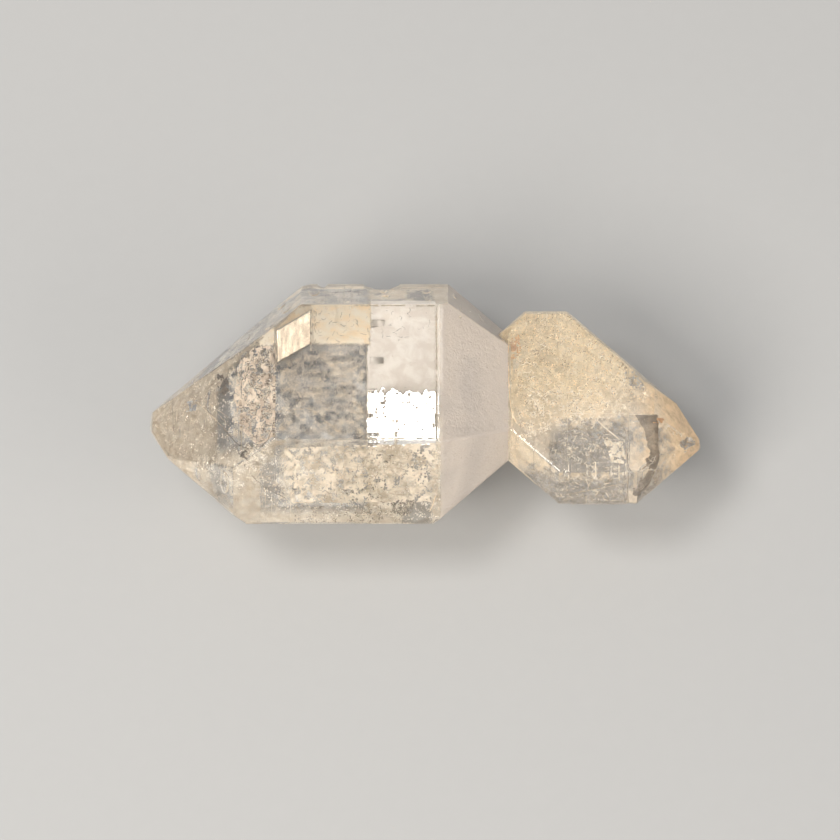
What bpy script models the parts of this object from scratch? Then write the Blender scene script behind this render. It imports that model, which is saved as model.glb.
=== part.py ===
"""Two doubly terminated quartz crystals grown together end to end, as one solid.

X runs along the long axis that both crystals share, with the larger crystal on the left,
Y runs away from the front and Z is up. The larger crystal lies on a flat patch of its
lowest prism face, in the plane z = 0. Lengths below are millimetres, angles degrees.
"""

import math
import random

import bmesh
import bpy
from mathutils import Matrix, Vector

MM = 0.001
WORLD_AXES = (Vector((1.0, 0.0, 0.0)), Vector((0.0, 1.0, 0.0)), Vector((0.0, 0.0, 1.0)))

# How nearly a mesh face must match a plane to be the one that lies on it.
SAME_WAY = 0.999
SAME_PLANE = 0.01
CUT_TOLERANCE = 1e-7

# Quartz symmetry: six prism faces 60 degrees apart about the long axis, and over each of
# them, at both ends, one end face whose normal leans END_TILT from the long axis.
SIDES = ("top", "upper_back", "lower_back", "bottom", "lower_front", "upper_front")
SIDE_TURNS = (90.0, 30.0, -30.0, -90.0, -150.0, 150.0)
END_TILT = 51.8

# Each crystal is given by its axis (y, z), the distance of each prism face from that axis,
# and the place along X where each end face meets the prism face under it.
LARGER_AXIS = (0.0, 6.79)
LARGER_REACH = (6.79, 7.17, 7.61, 6.67, 7.21, 7.75)
LARGER_LEFT = (-9.79, -8.09, -7.48, -10.76, -11.68, -12.48)
LARGER_RIGHT = (0.86, 1.56, 1.68, 0.66, 0.57, 1.06)

SMALLER_AXIS = (-0.83, 6.02)
SMALLER_REACH = (3.87, 7.06, 4.11, 3.87, 4.86, 6.31)
SMALLER_LEFT = (5.81, 6.64, 6.64, 8.27, 8.80, 8.80)
SMALLER_RIGHT = (15.07, 9.37, 9.68, 14.83, 13.94, 13.94)

# Worn corners, each a small extra facet: (name, point on it, outward normal).
LARGER_CORNERS = (
    ("tip", (-17.98, -1.40, 6.60), (-0.985, 0.03, 0.17)),
    ("tip_low", (-17.55, -2.62, 6.10), (-0.86, -0.48, -0.10)),
    ("back_bevel", (-17.00, 1.00, 6.60), (-0.617, 0.768, 0.169)),
)
SMALLER_CORNERS = (("tip", (17.98, -2.75, 8.00), (0.97, -0.10, 0.22)),)

# Growth plates are low raised patches with sloping rims, sunk a little into their face.
PLATE_SINK = 0.30
PLATE_SLOPE = 38.0

# The flat patch the piece rests on, as (x, y) corners, and how far it stands proud.
FOOT_OUTLINE = ((-3.76, 4.45), (0.42, 4.15), (0.52, -3.55), (-0.18, -4.05), (-3.66, -4.05))
FOOT_DEPTH = 0.12
FOOT_SLOPE = 20.0

# The plate on the right half of the larger crystal's top face, as (x, y) corners.
TOP_PLATE = ((-3.70, -4.86), (0.66, -4.86), (0.66, 4.15), (-3.45, 4.15))
TOP_PLATE_RISE = 0.02

# Ledges on the prism: (side, x from, x to, share of the breadth from, to, rise). Their
# corners are worn off by a share of the shorter side, and they keep clear of other faces.
LEDGE_WEAR = (0.12, 0.42)
LEDGE_CLEARANCE = 0.22
LARGER_LEDGES = (
    ("lower_back", -7.60, -6.90, 0.06, 0.94, 0.05),
    ("lower_back", -5.90, -2.20, 0.30, 0.93, 0.15),
    ("lower_back", -1.50, -0.50, 0.08, 0.90, 0.06),
    ("lower_back", 0.10, 0.75, 0.22, 0.68, 0.09),
    ("lower_front", -10.60, -8.10, 0.18, 0.80, 0.13),
    ("lower_front", -5.90, -5.20, 0.05, 0.95, 0.05),
    ("lower_front", -4.40, -1.90, 0.12, 0.64, 0.11),
    ("lower_front", -1.30, -0.40, 0.08, 0.92, 0.05),
    ("upper_back", -5.30, -4.75, 0.10, 0.90, 0.04),
)
SMALLER_LEDGES = (
    ("lower_back", 7.20, 8.90, 0.15, 0.80, 0.10),
    ("bottom", 9.30, 10.60, 0.12, 0.70, 0.09),
    ("bottom", 11.70, 13.80, 0.34, 0.88, 0.12),
    ("lower_front", 9.50, 10.40, 0.10, 0.90, 0.05),
    ("lower_front", 11.30, 13.30, 0.22, 0.78, 0.09),
)

# Small scattered growth plates: how many a face, their sizes and their rise. Smooth faces
# have none, the lower end faces have three-sided hillocks and the others have bands.
SCATTER_SEED = 17
SMOOTH_FACES = (
    "top",
    "upper_front",
    "right_top",
    "right_upper_front",
    "tip",
    "tip_low",
    "back_bevel",
)
BANDED_ENDS = ("left_top", "left_upper_front", "left_upper_back", "right_upper_back")
LARGER_PLATES_PER_FACE = 8
SMALLER_PLATES_PER_FACE = 4
SCATTER_TRIES = 160
SCATTER_MARGIN = 0.22
SCATTER_GAP = 0.12
OUTLINE_MARGIN = 0.50
CRYSTAL_GAP = 0.30
SCATTER_RISE = (0.025, 0.07)
BAND_HALF_LENGTH = (0.14, 0.48)
BAND_HALF_BREADTH = (0.60, 2.10)
BAND_CORNERS = 8
BAND_WANDER = 16.0
HILLOCK_SIZE = (0.45, 1.30)
HILLOCK_CORNERS = (-9.0, 9.0, 112.0, 134.0, 226.0, 250.0)
HILLOCK_WANDER = 6.0

# Small etch pits, three sided with blunt corners, made by the same rules as the plates.
PITS_PER_FACE = 2
PIT_SCALE = 0.42
PIT_DEPTH = (0.05, 0.11)
PIT_SLOPE = 42.0
PIT_CLEARANCE = 0.60

# The band of later growth round the front of the smaller crystal's prism.
GIRDLE_X = (9.35, 13.36)
GIRDLE_RISE = 0.045
GIRDLE_SIDES = ("top", "upper_front", "lower_front", "bottom")
GIRDLE_SUNK = 0.09

# The two cuts that bound the girdle at each end: (normal for the right end, y, z).
GIRDLE_CUTS = (((0.80, 0.0, 0.60), 0.0, 9.89), ((0.98, -0.17, -0.10), -6.0, 7.0))

# The box round the girdle and the stepped plate, where no small plates grow.
GIRDLE_BOX = ((8.9, -8.0, 0.0), (16.2, -1.5, 11.0))

# The stepped plate on the smaller crystal's front end face, as (x, y) corners seen from above.
STEP_OUTLINE = (
    (15.20, -4.20),
    (15.35, -4.75),
    (14.95, -5.65),
    (14.12, -6.60),
    (13.60, -7.10),
    (13.00, -6.80),
    (13.00, -4.20),
)
STEP_RISE = 0.16
STEP_SLOPE = 12.0
STEP_KEPT_BELOW = ("top", "upper_front", "right_top")
STEP_CLEARANCE = 0.02

# Small blocky crystals in the cleft between the two: (centre, size, turn about X).
CLEFT_CRYSTALS = (
    ((5.05, 3.05, 8.55), 0.95, 24.0),
    ((5.75, 2.60, 8.95), 0.70, 50.0),
    ((5.40, 0.20, 9.75), 0.42, 12.0),
    ((5.55, -2.30, 9.40), 0.50, 40.0),
)

# Their shape, for a size of 1: the lean and distance of the sides, and the slope along and
# across, the distance and the unevenness of the end faces.
BLOCKY_LEAN = 0.15
BLOCKY_GIRTH = 0.55
BLOCKY_END_SLOPE = (0.75, 0.60)
BLOCKY_END_REACH = 0.82
BLOCKY_END_STEP = 0.04

# Scoops broken out of the upper back edge: (x, half width, depth, half height). The edge
# runs along the line (y, z), and the scoops lean from upright by SCOOP_LEAN.
BACK_EDGE = (8.46, 6.46)
SCOOP_LEAN = 20.0
SCOOP_RADIUS = 1.7  # of its depth
SCOOP_OUT = 0.7  # of its depth, from the edge to its middle
SCOOP_UP = 0.42  # of its half height
EDGE_SCOOPS = ((-2.80, 1.60, 0.58, 2.70), (-6.72, 0.42, 0.36, 1.70))

# The chip beside the right tip, as (x, y) corners on the end face there.
CHIP_OUTLINE = ((16.80, -3.45), (17.42, -2.76), (17.78, -3.16), (17.02, -3.80))
CHIP_DEPTH = 0.30
CHIP_SLOPE = 50.0


def side_normal(turn):
    """Outward normal of a prism face turned from +Y towards +Z about the long axis."""
    angle = math.radians(turn)
    return Vector((0.0, math.cos(angle), math.sin(angle)))


def end_normal(turn, end):
    """Outward normal of the end face over that prism face; end is -1 left, +1 right."""
    tilt = math.radians(END_TILT)
    return Vector((end * math.cos(tilt), 0.0, 0.0)) + math.sin(tilt) * side_normal(turn)


def through(normal, point):
    """Plane with this outward normal through a point, as (normal, distance)."""
    unit = Vector(normal).normalized()
    return unit, unit.dot(Vector(point))


def crystal_planes(axis, reach, left, right, corners):
    """All faces of one crystal by name, each as (outward normal, distance)."""
    centre = Vector((0.0, axis[0], axis[1]))
    planes = {}
    for index, side in enumerate(SIDES):
        turn = SIDE_TURNS[index]
        normal = side_normal(turn)
        planes[side] = (normal, normal.dot(centre) + reach[index])
        for end, edges, label in ((-1, left, "left"), (1, right, "right")):
            foot = centre + reach[index] * normal
            foot.x = edges[index]
            planes[label + "_" + side] = through(end_normal(turn, end), foot)
    for name, point, normal in corners:
        planes[name] = through(normal, point)
    return planes


def cut_away(body, normal, distance):
    """Removes what lies outside a plane, and closes the body over the cut."""
    cut = bmesh.ops.bisect_plane(
        body,
        geom=body.verts[:] + body.edges[:] + body.faces[:],
        dist=CUT_TOLERANCE,
        plane_co=normal * distance,
        plane_no=normal,
        clear_outer=True,
    )
    rim = [item for item in cut["geom_cut"] if isinstance(item, bmesh.types.BMEdge)]
    if rim:
        bmesh.ops.contextual_create(body, geom=rim)


def block(planes, size=60.0):
    """Convex body left of a cube after each plane cuts away what lies outside it."""
    body = bmesh.new()
    bmesh.ops.create_cube(body, size=size)
    for normal, distance in planes:
        cut_away(body, normal, distance)
    bmesh.ops.recalc_face_normals(body, faces=body.faces[:])
    return body


def merge_into(target, source):
    """Adds one body's faces to another mesh, and frees it."""
    copies = {vert: target.verts.new(vert.co) for vert in source.verts}
    for face in source.faces:
        target.faces.new([copies[vert] for vert in face.verts])
    source.free()


def face_on(body, plane):
    """Corner points of the body's face that lies on this plane."""
    normal, distance = plane
    for face in body.faces:
        off = abs(face.verts[0].co.dot(normal) - distance)
        if face.normal.dot(normal) > SAME_WAY and off < SAME_PLANE:
            return [vert.co.copy() for vert in face.verts]
    return []


def frame_of(plane):
    """Two directions in a face's plane: along the crystal as far as it can be, and across."""
    normal = plane[0]
    along = Vector((1.0, 0.0, 0.0)) - normal * normal.x
    along.normalize()
    return along, normal.cross(along)


def spans(points, directions):
    """Least and greatest reach of some points along each direction."""
    return [
        (min(point.dot(way) for point in points), max(point.dot(way) for point in points))
        for way in directions
    ]


def rim_planes(plane, outline, slope):
    """Planes through the sides of a convex outline on a face, leaning inwards by slope."""
    normal = plane[0]
    middle = sum(outline, Vector()) / len(outline)
    if (outline[0] - middle).cross(outline[1] - middle).dot(normal) < 0.0:
        outline = outline[::-1]
    lean = math.radians(slope)
    planes = []
    for index, start in enumerate(outline):
        edge = outline[(index + 1) % len(outline)] - start
        outward = edge.cross(normal).normalized()
        planes.append(through(outward * math.cos(lean) + normal * math.sin(lean), start))
    return planes


def plate_planes(plane, outline, rise, slope=PLATE_SLOPE):
    """Planes of a raised patch on a face, with its rim along a convex outline."""
    normal, distance = plane
    layer = [(normal, distance + rise), (-normal, PLATE_SINK - distance)]
    return layer + rim_planes(plane, outline, slope)


def dent(plane, outline, depth, slope=PIT_SLOPE):
    """Hollow into a face, with its rim along a convex outline and its walls closing in."""
    normal, distance = plane
    layer = [(normal, distance + PLATE_SINK), (-normal, depth - distance)]
    return block(layer + rim_planes(plane, outline, -slope))


def drop_onto(plane, corners):
    """Points of a face that lie over or under the given (x, y) corners."""
    normal, distance = plane
    return [
        Vector((x, y, (distance - normal.x * x - normal.y * y) / normal.z)) for x, y in corners
    ]


def worn_outline(base, along, across, long_span, wide_span, chance):
    """Oblong on a face with each corner cut off by its own amounts."""
    shorter = min(long_span[1] - long_span[0], wide_span[1] - wide_span[0])
    outline = []
    for turn, (u, v) in enumerate(((0, 0), (1, 0), (1, 1), (0, 1))):
        inward = (1 - 2 * u, 1 - 2 * v)
        cut_long, cut_wide = (shorter * chance.uniform(*LEDGE_WEAR) for _ in range(2))
        on_long = (long_span[u] + inward[0] * cut_long, wide_span[v])
        on_wide = (long_span[u], wide_span[v] + inward[1] * cut_wide)
        pair = (on_wide, on_long) if turn % 2 == 0 else (on_long, on_wide)
        outline.extend(base + along * p + across * q for p, q in pair)
    return outline


def ledges(target, body, planes, rows, chance):
    """Broad low plates on the prism faces, from the rows of shares given above."""
    for side, left, right, low_share, high_share, rise in rows:
        plane = planes[side]
        along, across = frame_of(plane)
        low, high = spans(face_on(body, plane), (across,))[0]
        breadth = high - low
        wide_span = (low + breadth * low_share, low + breadth * high_share)
        base = plane[0] * plane[1]
        outline = worn_outline(base, along, across, (left, right), wide_span, chance)
        walls = plate_planes(plane, outline, rise)
        for name, (normal, distance) in planes.items():
            if name != side:
                walls.append((normal, distance - LEDGE_CLEARANCE))
        merge_into(target, block(walls))


def ring(centre, along, across, size_along, size_across, angles):
    """Points at the given angles on an ellipse in a face's plane."""
    return [
        centre
        + along * (size_along * math.cos(math.radians(angle)))
        + across * (size_across * math.sin(math.radians(angle)))
        for angle in angles
    ]


def band_outline(centre, along, across, chance):
    """Many-sided patch, long across the crystal, as growth lines on a prism run."""
    half_long = chance.uniform(*BAND_HALF_LENGTH)
    half_wide = chance.uniform(*BAND_HALF_BREADTH)
    step = 360.0 / BAND_CORNERS
    angles = [
        step * index + chance.uniform(-BAND_WANDER, BAND_WANDER) for index in range(BAND_CORNERS)
    ]
    return ring(centre, along, across, half_long, half_wide, angles)


def hillock_outline(centre, along, across, up_slope, chance):
    """Three-sided patch, one blunt corner towards the crystal's tip, as on an end face."""
    size = chance.uniform(*HILLOCK_SIZE)
    angles = [
        up_slope + corner + chance.uniform(-HILLOCK_WANDER, HILLOCK_WANDER)
        for corner in HILLOCK_CORNERS
    ]
    return ring(centre, along, across, size, size, angles)


def stays_on(face, normal, outline):
    """True when an outline lies inside a convex face, clear of its edges."""
    for index, start in enumerate(face):
        edge = (face[(index + 1) % len(face)] - start).normalized()
        inward = normal.cross(edge)
        if any(inward.dot(point - start) < SCATTER_MARGIN for point in outline):
            return False
    return True


def scatter(plates, pits, body, planes, count, chance, keep_out):
    """Small growth plates and pits at chance places, apart from each other and keep_out."""
    for name, plane in planes.items():
        face = face_on(body, plane)
        if name in SMOOTH_FACES or len(face) < 3:
            continue
        banded = name in SIDES or name in BANDED_ENDS
        pit_count = 0 if name in BANDED_ENDS else PITS_PER_FACE
        normal = plane[0]
        along, across = frame_of(plane)
        along_span, across_span = spans(face, (along, across))
        up_slope = 0.0 if along.x * normal.x > 0.0 else 180.0
        taken = []
        for _ in range(SCATTER_TRIES):
            if len(taken) == count + pit_count:
                break
            pit = len(taken) < pit_count
            centre = (
                normal * plane[1]
                + along * chance.uniform(*along_span)
                + across * chance.uniform(*across_span)
            )
            if banded and not pit:
                outline = band_outline(centre, along, across, chance)
            else:
                outline = hillock_outline(centre, along, across, up_slope, chance)
            if pit:
                outline = [centre + (point - centre) * PIT_SCALE for point in outline]
            spread = max((point - centre).length for point in outline)
            crowded = any(
                (centre - other).length < spread + reach + SCATTER_GAP for other, reach in taken
            )
            if crowded or not stays_on(face, normal, outline):
                continue
            clear = spread + (PIT_CLEARANCE if pit else 0.0)
            if any(refuses(centre, clear) for refuses in keep_out):
                continue
            taken.append((centre, clear))
            if pit:
                merge_into(pits, dent(plane, outline, chance.uniform(*PIT_DEPTH)))
            else:
                rise = chance.uniform(*SCATTER_RISE)
                merge_into(plates, block(plate_planes(plane, outline, rise)))


def within(planes, slack):
    """Test for plates that would stand in or near the other crystal."""
    return lambda centre, spread: all(
        normal.dot(centre) < distance + spread + slack for normal, distance in planes.values()
    )


def near_box(low, high, margin=0.0):
    """Test for plates that would come within a margin of a box."""
    return lambda centre, spread: all(
        low[axis] - margin - spread < centre[axis] < high[axis] + margin + spread
        for axis in range(3)
    )


def near_ledges(body, planes, rows):
    """Tests for plates that would meet a ledge: the whole strip of its side is kept free."""
    tests = []
    for side, left, right, _, _, _ in rows:
        low, high = (list(pair) for pair in zip(*spans(face_on(body, planes[side]), WORLD_AXES)))
        low[0] = left - SCATTER_GAP
        high[0] = right + SCATTER_GAP
        tests.append(near_box(low, high, SAME_PLANE))
    return tests


def girdle(planes):
    """The smaller crystal's front sides raised a little between two rings."""
    walls = []
    for name, (normal, distance) in planes.items():
        walls.append((normal, distance + (GIRDLE_RISE if name in GIRDLE_SIDES else -GIRDLE_SUNK)))
    for x, end in zip(GIRDLE_X, (-1.0, 1.0)):
        for normal, y, z in GIRDLE_CUTS:
            walls.append(through((end * normal[0], normal[1], normal[2]), (x, y, z)))
    return block(walls)


def end_step(planes):
    """The stepped plate on the front end face, trimmed where neighbouring faces run."""
    face = planes["right_upper_front"]
    walls = plate_planes(face, drop_onto(face, STEP_OUTLINE), STEP_RISE, STEP_SLOPE)
    for name in STEP_KEPT_BELOW:
        normal, distance = planes[name]
        walls.append((normal, distance - STEP_CLEARANCE))
    return block(walls)


def blocky_crystal(centre, size, turn):
    """Short six-sided crystal with uneven ends, its length along X."""
    middle = Vector(centre)
    lengthwise, sideways = BLOCKY_END_SLOPE
    planes = []
    for index in range(len(SIDES)):
        out = side_normal(turn + 60.0 * index)
        flat = (out + Vector((BLOCKY_LEAN, 0.0, 0.0))).normalized()
        planes.append((flat, flat.dot(middle) + size * BLOCKY_GIRTH))
        reach = size * (BLOCKY_END_REACH + BLOCKY_END_STEP * index)
        for end in (-1.0, 1.0):
            slope = (out * sideways + Vector((end * lengthwise, 0.0, 0.0))).normalized()
            planes.append((slope, slope.dot(middle) + reach))
    return block(planes)


def edge_scoop(x, half_width, depth, half_height):
    """Rounded hollow across the upper back edge."""
    body = bmesh.new()
    bmesh.ops.create_icosphere(body, subdivisions=2, radius=1.0)
    bmesh.ops.scale(body, vec=(half_width, depth * SCOOP_RADIUS, half_height), verts=body.verts)
    lean = Matrix.Rotation(math.radians(SCOOP_LEAN), 3, "X")
    bmesh.ops.rotate(body, matrix=lean, verts=body.verts)
    shift = lean @ Vector((0.0, depth * SCOOP_OUT, half_height * SCOOP_UP))
    place = shift + Vector((x, BACK_EDGE[0], BACK_EDGE[1]))
    bmesh.ops.translate(body, vec=place, verts=body.verts)
    return body


def new_object(name, body, collection):
    """Object from a body in millimetres, in the given collection."""
    bmesh.ops.scale(body, vec=(MM, MM, MM), verts=body.verts)
    mesh = bpy.data.meshes.new(name)
    body.to_mesh(mesh)
    body.free()
    item = bpy.data.objects.new(name, mesh)
    collection.objects.link(item)
    return item


def combine(target, name, body, operation):
    """Boolean of the target with a body, which stays in the file as a wire helper."""
    helper = new_object(name, body, cutters)
    helper.hide_render = True
    helper.display_type = "WIRE"
    change = target.modifiers.new(name, "BOOLEAN")
    change.operation = operation
    change.solver = "EXACT"
    change.object = helper


def quartz_material():
    """Clear quartz with a warm tint."""
    quartz = bpy.data.materials.new("clear_warm_quartz")
    quartz.use_nodes = True
    surface = quartz.node_tree.nodes["Principled BSDF"]
    surface.inputs["Base Color"].default_value = (0.90, 0.84, 0.74, 1.0)
    surface.inputs["Roughness"].default_value = 0.06
    surface.inputs["Metallic"].default_value = 0.0
    surface.inputs["IOR"].default_value = 1.544
    surface.inputs["Transmission Weight"].default_value = 1.0
    return quartz


for old in list(bpy.data.objects):
    bpy.data.objects.remove(old, do_unlink=True)

pieces = bpy.data.collections.new("quartz_crystal_pair")
cutters = bpy.data.collections.new("cutters")
bpy.context.scene.collection.children.link(pieces)
bpy.context.scene.collection.children.link(cutters)

larger = crystal_planes(LARGER_AXIS, LARGER_REACH, LARGER_LEFT, LARGER_RIGHT, LARGER_CORNERS)
smaller = crystal_planes(
    SMALLER_AXIS, SMALLER_REACH, SMALLER_LEFT, SMALLER_RIGHT, SMALLER_CORNERS
)
larger_body = block(larger.values())
smaller_body = block(smaller.values())
chance = random.Random(SCATTER_SEED)
etch_pits = bmesh.new()

# Growth on the larger crystal: the foot, the plate on top, ledges and scattered plates.
larger_growth = bmesh.new()
foot_outline = drop_onto(larger["bottom"], FOOT_OUTLINE)
top_outline = drop_onto(larger["top"], TOP_PLATE)
foot_planes = plate_planes(larger["bottom"], foot_outline, FOOT_DEPTH, FOOT_SLOPE)
merge_into(larger_growth, block(foot_planes))
merge_into(larger_growth, block(plate_planes(larger["top"], top_outline, TOP_PLATE_RISE)))
ledges(larger_growth, larger_body, larger, LARGER_LEDGES, chance)
larger_tests = [within(smaller, CRYSTAL_GAP)] + near_ledges(larger_body, larger, LARGER_LEDGES)
for corners in (foot_outline, top_outline):
    low, high = zip(*spans(corners, WORLD_AXES))
    larger_tests.append(near_box(low, high, OUTLINE_MARGIN))
scatter(
    larger_growth, etch_pits, larger_body, larger, LARGER_PLATES_PER_FACE, chance, larger_tests
)

# Growth on the smaller crystal: ledges and scattered plates away from its girdle and step.
smaller_growth = bmesh.new()
ledges(smaller_growth, smaller_body, smaller, SMALLER_LEDGES, chance)
smaller_tests = [within(larger, CRYSTAL_GAP)] + near_ledges(smaller_body, smaller, SMALLER_LEDGES)
smaller_tests.append(near_box(*GIRDLE_BOX))
scatter(
    smaller_growth, etch_pits, smaller_body, smaller, SMALLER_PLATES_PER_FACE, chance, smaller_tests
)

cleft = bmesh.new()
for centre, size, turn in CLEFT_CRYSTALS:
    merge_into(cleft, blocky_crystal(centre, size, turn))

breaks = bmesh.new()
for row in EDGE_SCOOPS:
    merge_into(breaks, edge_scoop(*row))
tip_face = smaller["right_top"]
merge_into(breaks, dent(tip_face, drop_onto(tip_face, CHIP_OUTLINE), CHIP_DEPTH, CHIP_SLOPE))

crystals = new_object("joined_quartz_crystals", larger_body, pieces)
combine(crystals, "smaller_crystal", smaller_body, "UNION")
combine(crystals, "smaller_girdle", girdle(smaller), "UNION")
combine(crystals, "larger_growth", larger_growth, "UNION")
combine(crystals, "smaller_growth", smaller_growth, "UNION")
combine(crystals, "end_step", end_step(smaller), "UNION")
combine(crystals, "cleft_crystals", cleft, "UNION")
combine(crystals, "etch_pits", etch_pits, "DIFFERENCE")
combine(crystals, "breaks", breaks, "DIFFERENCE")
crystals.data.materials.append(quartz_material())
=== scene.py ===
import math
import random
from bisect import bisect_right

import bpy
import bmesh
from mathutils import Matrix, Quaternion, Vector, noise
from mathutils.bvhtree import BVHTree


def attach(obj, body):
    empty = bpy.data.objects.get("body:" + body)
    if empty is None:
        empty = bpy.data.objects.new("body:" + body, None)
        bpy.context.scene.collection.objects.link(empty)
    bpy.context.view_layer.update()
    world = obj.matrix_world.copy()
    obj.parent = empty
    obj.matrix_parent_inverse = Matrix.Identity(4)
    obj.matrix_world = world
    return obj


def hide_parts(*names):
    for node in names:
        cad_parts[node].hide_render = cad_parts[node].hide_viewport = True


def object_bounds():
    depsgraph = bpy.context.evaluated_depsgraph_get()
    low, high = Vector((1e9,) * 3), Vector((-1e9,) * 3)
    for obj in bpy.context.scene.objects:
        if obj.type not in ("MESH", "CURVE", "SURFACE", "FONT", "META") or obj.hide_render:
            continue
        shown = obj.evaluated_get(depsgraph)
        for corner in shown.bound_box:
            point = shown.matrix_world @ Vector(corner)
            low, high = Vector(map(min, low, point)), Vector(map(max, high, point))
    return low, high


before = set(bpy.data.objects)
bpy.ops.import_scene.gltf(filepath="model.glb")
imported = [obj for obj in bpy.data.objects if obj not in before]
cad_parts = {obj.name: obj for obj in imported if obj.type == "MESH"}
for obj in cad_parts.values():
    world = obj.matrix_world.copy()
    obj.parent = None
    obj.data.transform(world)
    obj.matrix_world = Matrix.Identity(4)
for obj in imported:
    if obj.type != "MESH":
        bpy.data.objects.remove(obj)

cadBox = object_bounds()
mm = 0.001
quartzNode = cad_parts["joined_quartz_crystals"]


# Shader maths as expressions
class Wire:
    def __init__(self, tree, socket):
        self.tree = tree
        self.socket = socket

    # any node: its settings first, then its sockets
    def make(self, kind, settings, inputs, output=0):
        node = self.tree.nodes.new(kind)
        for name, value in settings.items():
            if name == "stops":
                ramp = node.color_ramp.elements
                while len(ramp) < len(value):
                    ramp.new(1.0)
                for element, (place, tint) in zip(ramp, value):
                    element.position = place
                    element.color = tint
            else:
                setattr(node, name, value)
        for name, value in inputs.items():
            if isinstance(value, Wire):
                self.tree.links.new(value.socket, node.inputs[name])
            else:
                node.inputs[name].default_value = value
        return Wire(self.tree, node.outputs[output])

    def math(self, operation, first, second=0.0):
        return self.make("ShaderNodeMath", {"operation": operation}, {0: first, 1: second})

    def __add__(self, other):
        return self.math("ADD", self, other)

    __radd__ = __add__

    def __sub__(self, other):
        return self.math("SUBTRACT", self, other)

    def __rsub__(self, other):
        return self.math("SUBTRACT", other, self)

    def __mul__(self, other):
        return self.math("MULTIPLY", self, other)

    __rmul__ = __mul__

    def away(self, middle):  # distance from a value
        return self.math("ABSOLUTE", self - middle)

    def ramp(self, low, high):  # 0 below low, 1 above high, smooth between
        return self.make(
            "ShaderNodeMapRange",
            {"interpolation_type": "SMOOTHSTEP"},
            {"Value": self, "From Min": low, "From Max": high},
        )

    def mix(self, first, second):  # two colours by this factor
        return self.make("ShaderNodeMix", {"data_type": "RGBA"}, {0: self, 6: first, 7: second}, 2)

    def noise(self, scale, detail=3.0, rough=0.55, warp=0.0):
        inputs = {"Vector": self, "Scale": scale, "Detail": detail, "Roughness": rough}
        inputs["Distortion"] = warp
        return self.make("ShaderNodeTexNoise", {}, inputs)

    def stretch(self, x, y, z):
        return self.make(
            "ShaderNodeVectorMath", {"operation": "MULTIPLY"}, {0: self, 1: (x, y, z)}
        )

    def inMm(self):
        return self.stretch(1000.0, 1000.0, 1000.0)

    def bump(self, strength, distance):  # a normal from this height, distance in metres
        inputs = {"Strength": strength, "Distance": distance, "Height": self}
        return self.make("ShaderNodeBump", {}, inputs)


def newMaterial(name):
    material = bpy.data.materials.new(name)
    material.use_nodes = True
    tree = material.node_tree
    shader = tree.nodes["Principled BSDF"]
    texture = tree.nodes.new("ShaderNodeTexCoord")
    return material, shader, Wire(tree, texture.outputs["Object"])


def plug(wire, shader, name):
    wire.tree.links.new(wire.socket, shader.inputs[name])


def colour(r, g, b):
    return (r, g, b, 1.0)


# Camera, floor and light
cameraLook = {
    "aim": (-0.28, -1.84, 8.53),  # mm
    "elevation": 70.0,
    "distance": 590.7,  # mm
    "lens": 385.7,
    "sensor": 36.0,  # mm wide
    "clipStart": 0.01,  # m
}

floorLook = {
    "size": 4.0,
    "light": colour(0.27, 0.268, 0.264),
    "dark": colour(0.2619, 0.25996, 0.25608),
    "grain": 900.0,
    "roughness": 0.7,
}

lightLook = {
    "viewTransform": "Standard",
    "world": (0.93, 0.96, 1.0),
    "worldStrength": 0.57,
    # place and size in metres, power in watts, colour
    "key": ((-0.28, -0.30, 0.42), 0.30, 4.6, (1.0, 0.96, 0.90)),
    "window": ((-0.23, 0.0, 0.55), 0.20, 2.4, (1.0, 0.98, 0.95)),
    "fill": ((0.44, -0.24, 0.20), 0.35, 1.6, (1.0, 0.93, 0.84)),
}


def addCamera():
    tilt = math.radians(cameraLook["elevation"])
    back = Vector((0.0, -math.cos(tilt), math.sin(tilt)))
    place = (Vector(cameraLook["aim"]) + back * cameraLook["distance"]) * mm
    bpy.ops.object.camera_add(location=place, rotation=(math.pi / 2 - tilt, 0.0, 0.0))
    camera = bpy.context.object
    camera.name = "camera"
    camera.data.lens = cameraLook["lens"]
    camera.data.sensor_width = cameraLook["sensor"]
    camera.data.clip_start = cameraLook["clipStart"]
    bpy.context.scene.camera = camera


def addLights():
    for name in ("key", "window", "fill"):
        place, size, power, tint = lightLook[name]
        bpy.ops.object.light_add(type="AREA", location=place)
        light = bpy.context.object
        light.name = name + "Light"
        light.data.size = size
        light.data.energy = power
        light.data.color = tint
        light.rotation_euler = Vector(place).to_track_quat("Z", "Y").to_euler()
    world = bpy.data.worlds.new("studio")
    world.use_nodes = True
    sky = world.node_tree.nodes["Background"]
    sky.inputs["Color"].default_value = (*lightLook["world"], 1.0)
    sky.inputs["Strength"].default_value = lightLook["worldStrength"]
    bpy.context.scene.world = world
    bpy.context.scene.view_settings.view_transform = lightLook["viewTransform"]


def addFloor():
    bpy.ops.mesh.primitive_plane_add(size=floorLook["size"])
    floor = bpy.context.object
    floor.name = "floor"
    material, shader, at = newMaterial("palePaper")
    grain = at.noise(floorLook["grain"], 4.0)
    plug(grain.mix(floorLook["dark"], floorLook["light"]), shader, "Base Color")
    shader.inputs["Roughness"].default_value = floorLook["roughness"]
    floor.data.materials.append(material)


print("camera, light and floor")
addCamera()
addLights()
addFloor()

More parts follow.
